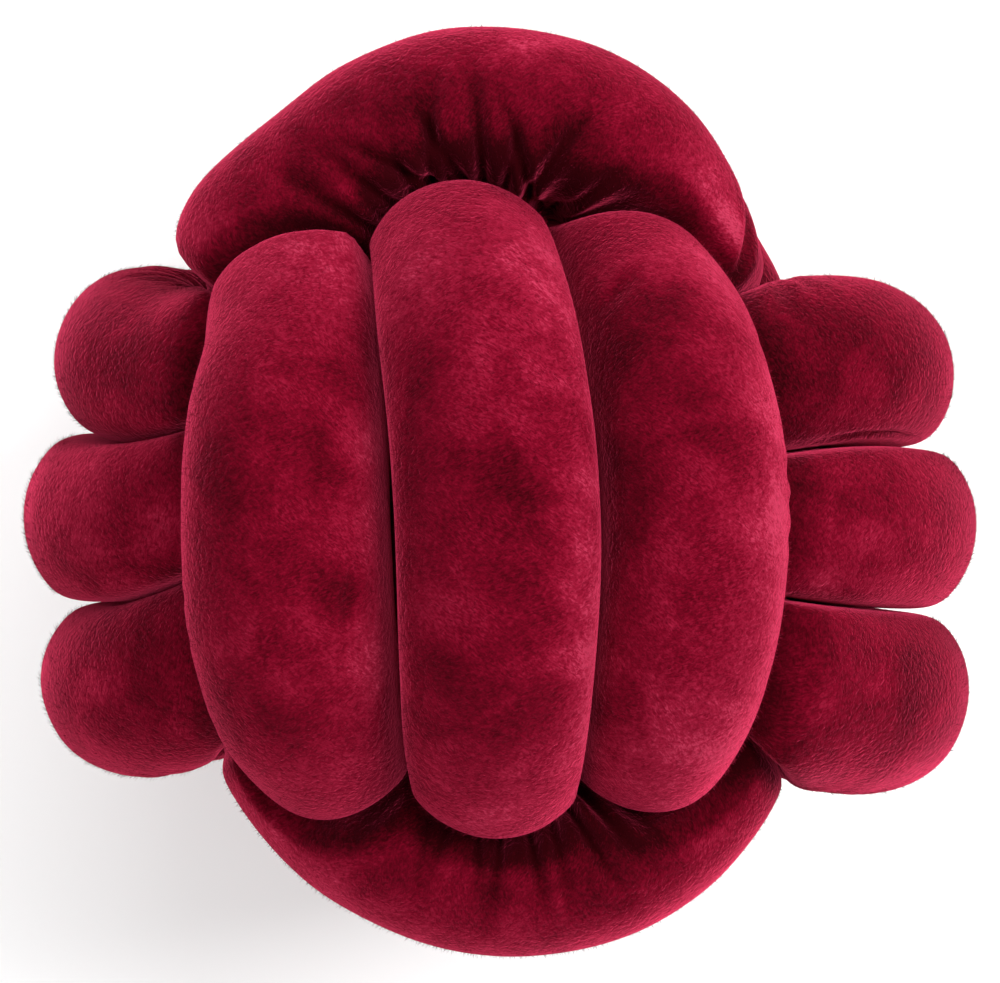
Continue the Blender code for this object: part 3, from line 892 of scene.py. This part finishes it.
def streaks(graph, degrees):
    """Locks of pile that lie round the tube, turned by some degrees."""
    place = graph.add("ShaderNodeUVMap", {"uv_map": PILE_MAP})
    turned = graph.add("ShaderNodeMapping", Vector=place, Rotation=(0, 0, math.radians(degrees)))
    scaled = graph.add("ShaderNodeMapping", Vector=turned, Scale=(1 / STREAK[0], 1 / STREAK[1], 1))
    return graph.noise(scaled, 1.0, NOISE_DETAIL, STREAK_DISTORTION)


def plush_material(name, sheen):
    """Short pile: patches, grain, locks and the mesh's lightness, which holds painted shade and light,
    choose among the plush colours.
    """
    material = bpy.data.materials.new(name)
    material.use_nodes = True
    graph = Graph(material)
    shader = graph.nodes["Principled BSDF"]
    place = graph.nodes.new("ShaderNodeTexCoord").outputs["Object"]

    large = graph.pattern(place, LARGE_PATCH, NOISE_DETAIL, LARGE_DISTORTION)
    small = graph.pattern(place, SMALL_PATCH, NOISE_DETAIL, SMALL_DISTORTION)
    grain = graph.pattern(place, GRAIN_SIZE, GRAIN_DETAIL, GRAIN_DISTORTION)
    first, second = (streaks(graph, degrees) for degrees in STREAK_TURNS)
    lock = graph.add("ShaderNodeMix", {"data_type": "FLOAT"}, _0=small, _2=first, _3=second)
    lock = graph.widened(lock, STREAK_SPAN)
    light = graph.math("MULTIPLY", large, LARGE_SHARE)
    for pattern, share in ((small, SMALL_SHARE), (grain, GRAIN_SHARE), (lock, STREAK_SHARE)):
        light = graph.math("ADD", light, graph.math("MULTIPLY", pattern, share))
    # the mesh's lightness: painted shade and light, the nap's blotches and each hair's random tone
    own = graph.nodes.new("ShaderNodeAttribute")
    own.attribute_name = LIGHTNESS
    light = graph.math("ADD", light, own.outputs["Fac"])

    ramp = graph.nodes.new("ShaderNodeValToRGB")
    ramp.color_ramp.elements[0].position = 0.0
    ramp.color_ramp.elements[1].position = 1.0
    for position, _ in PLUSH_COLOURS[1:-1]:
        ramp.color_ramp.elements.new(position)
    for element, (_, colour) in zip(ramp.color_ramp.elements, PLUSH_COLOURS):
        element.color = (*colour, 1)
    graph.links.new(light, ramp.inputs["Fac"])
    graph.links.new(ramp.outputs["Color"], shader.inputs["Base Color"])

    pile = graph.add("ShaderNodeBump", Strength=PILE_STRENGTH, Distance=PILE_HEIGHT, Height=lock)
    dents = graph.add("ShaderNodeBump", Strength=DENT_STRENGTH, Distance=DENT_HEIGHT, Height=grain,
                      Normal=pile)
    graph.links.new(dents, shader.inputs["Normal"])
    shader.inputs["Roughness"].default_value = ROUGHNESS
    shader.inputs["Specular IOR Level"].default_value = SPECULAR
    shader.inputs["Sheen Weight"].default_value = sheen
    shader.inputs["Sheen Roughness"].default_value = SHEEN_ROUGHNESS
    shader.inputs["Sheen Tint"].default_value = SHEEN_TINT
    return material


# ---------------------------------------------------------------- studio

# In metres, and watts for the lights.
CAMERA_DISTANCE = 1.2       # straight up from the ball's middle point
CAMERA_LENS = 144.0         # with the standard 36 mm sensor, 0.3 mm to a pixel at that distance
FLOOR_SIZE = 6.0
FLOOR_COLOUR = (0.97, 0.97, 0.97, 1.0)
FLOOR_ROUGHNESS = 0.9
WORLD_COLOUR = (1.0, 1.0, 1.0, 1.0)
WORLD_STRENGTH = 0.40
LIGHT_TARGET = (0.0, 0.0, 0.12)
Lamp = namedtuple("Lamp", "name place size power")
LAMPS = (
    Lamp("key", (1.9, 0.9, 2.0), 1.8, 92.0),
    Lamp("top", (0.2, 2.2, 1.6), 2.0, 44.0),
    Lamp("fill", (-1.1, -1.6, 1.9), 2.4, 52.0),
)


def make_camera(shift):
    """The photo's camera, which looks straight down at the cushion's face."""
    data = bpy.data.cameras.new("camera")
    data.lens = CAMERA_LENS
    camera = bpy.data.objects.new("camera", data)
    middle = shift * MM
    camera.location = (middle[0], middle[1], middle[2] + CAMERA_DISTANCE)
    bpy.context.scene.collection.objects.link(camera)
    bpy.context.scene.camera = camera


def make_floor():
    bpy.ops.mesh.primitive_plane_add(size=FLOOR_SIZE)
    floor = bpy.context.object
    floor.name = "floor"
    material = bpy.data.materials.new("pale_floor")
    material.use_nodes = True
    shader = material.node_tree.nodes["Principled BSDF"]
    shader.inputs["Base Color"].default_value = FLOOR_COLOUR
    shader.inputs["Roughness"].default_value = FLOOR_ROUGHNESS
    floor.data.materials.append(material)
    floor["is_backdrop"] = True


def make_lights():
    world = bpy.data.worlds.new("studio")
    world.use_nodes = True
    background = world.node_tree.nodes["Background"]
    background.inputs["Color"].default_value = WORLD_COLOUR
    background.inputs["Strength"].default_value = WORLD_STRENGTH
    bpy.context.scene.world = world
    for lamp in LAMPS:
        data = bpy.data.lights.new(lamp.name, "AREA")
        data.shape = "SQUARE"
        data.size = lamp.size
        data.energy = lamp.power
        light = bpy.data.objects.new(lamp.name, data)
        light.location = lamp.place
        aim = Vector(np.subtract(LIGHT_TARGET, lamp.place))
        light.rotation_euler = aim.to_track_quat("-Z", "Y").to_euler()
        bpy.context.scene.collection.objects.link(light)


def main():
    scene = bpy.context.scene
    scene.view_settings.view_transform = "Standard"
    route = Route()
    materials = [
        plush_material("crimson_plush", PILE_SHEEN),
        plush_material("crimson_hairs", HAIR_SHEEN),
    ]
    surfaces = [turn_surface(route, turn) for turn in range(TURNS)]
    shift = middle_of(surfaces)
    for turn, surface in enumerate(surfaces):
        piece = make_turn(surface, turn, shift, materials)
        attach(piece, "root")
        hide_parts(NODE)
    make_floor()
    make_lights()
    make_camera(shift)


main()
[[list(corner) for corner in box] for box in (cad_box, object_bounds())]
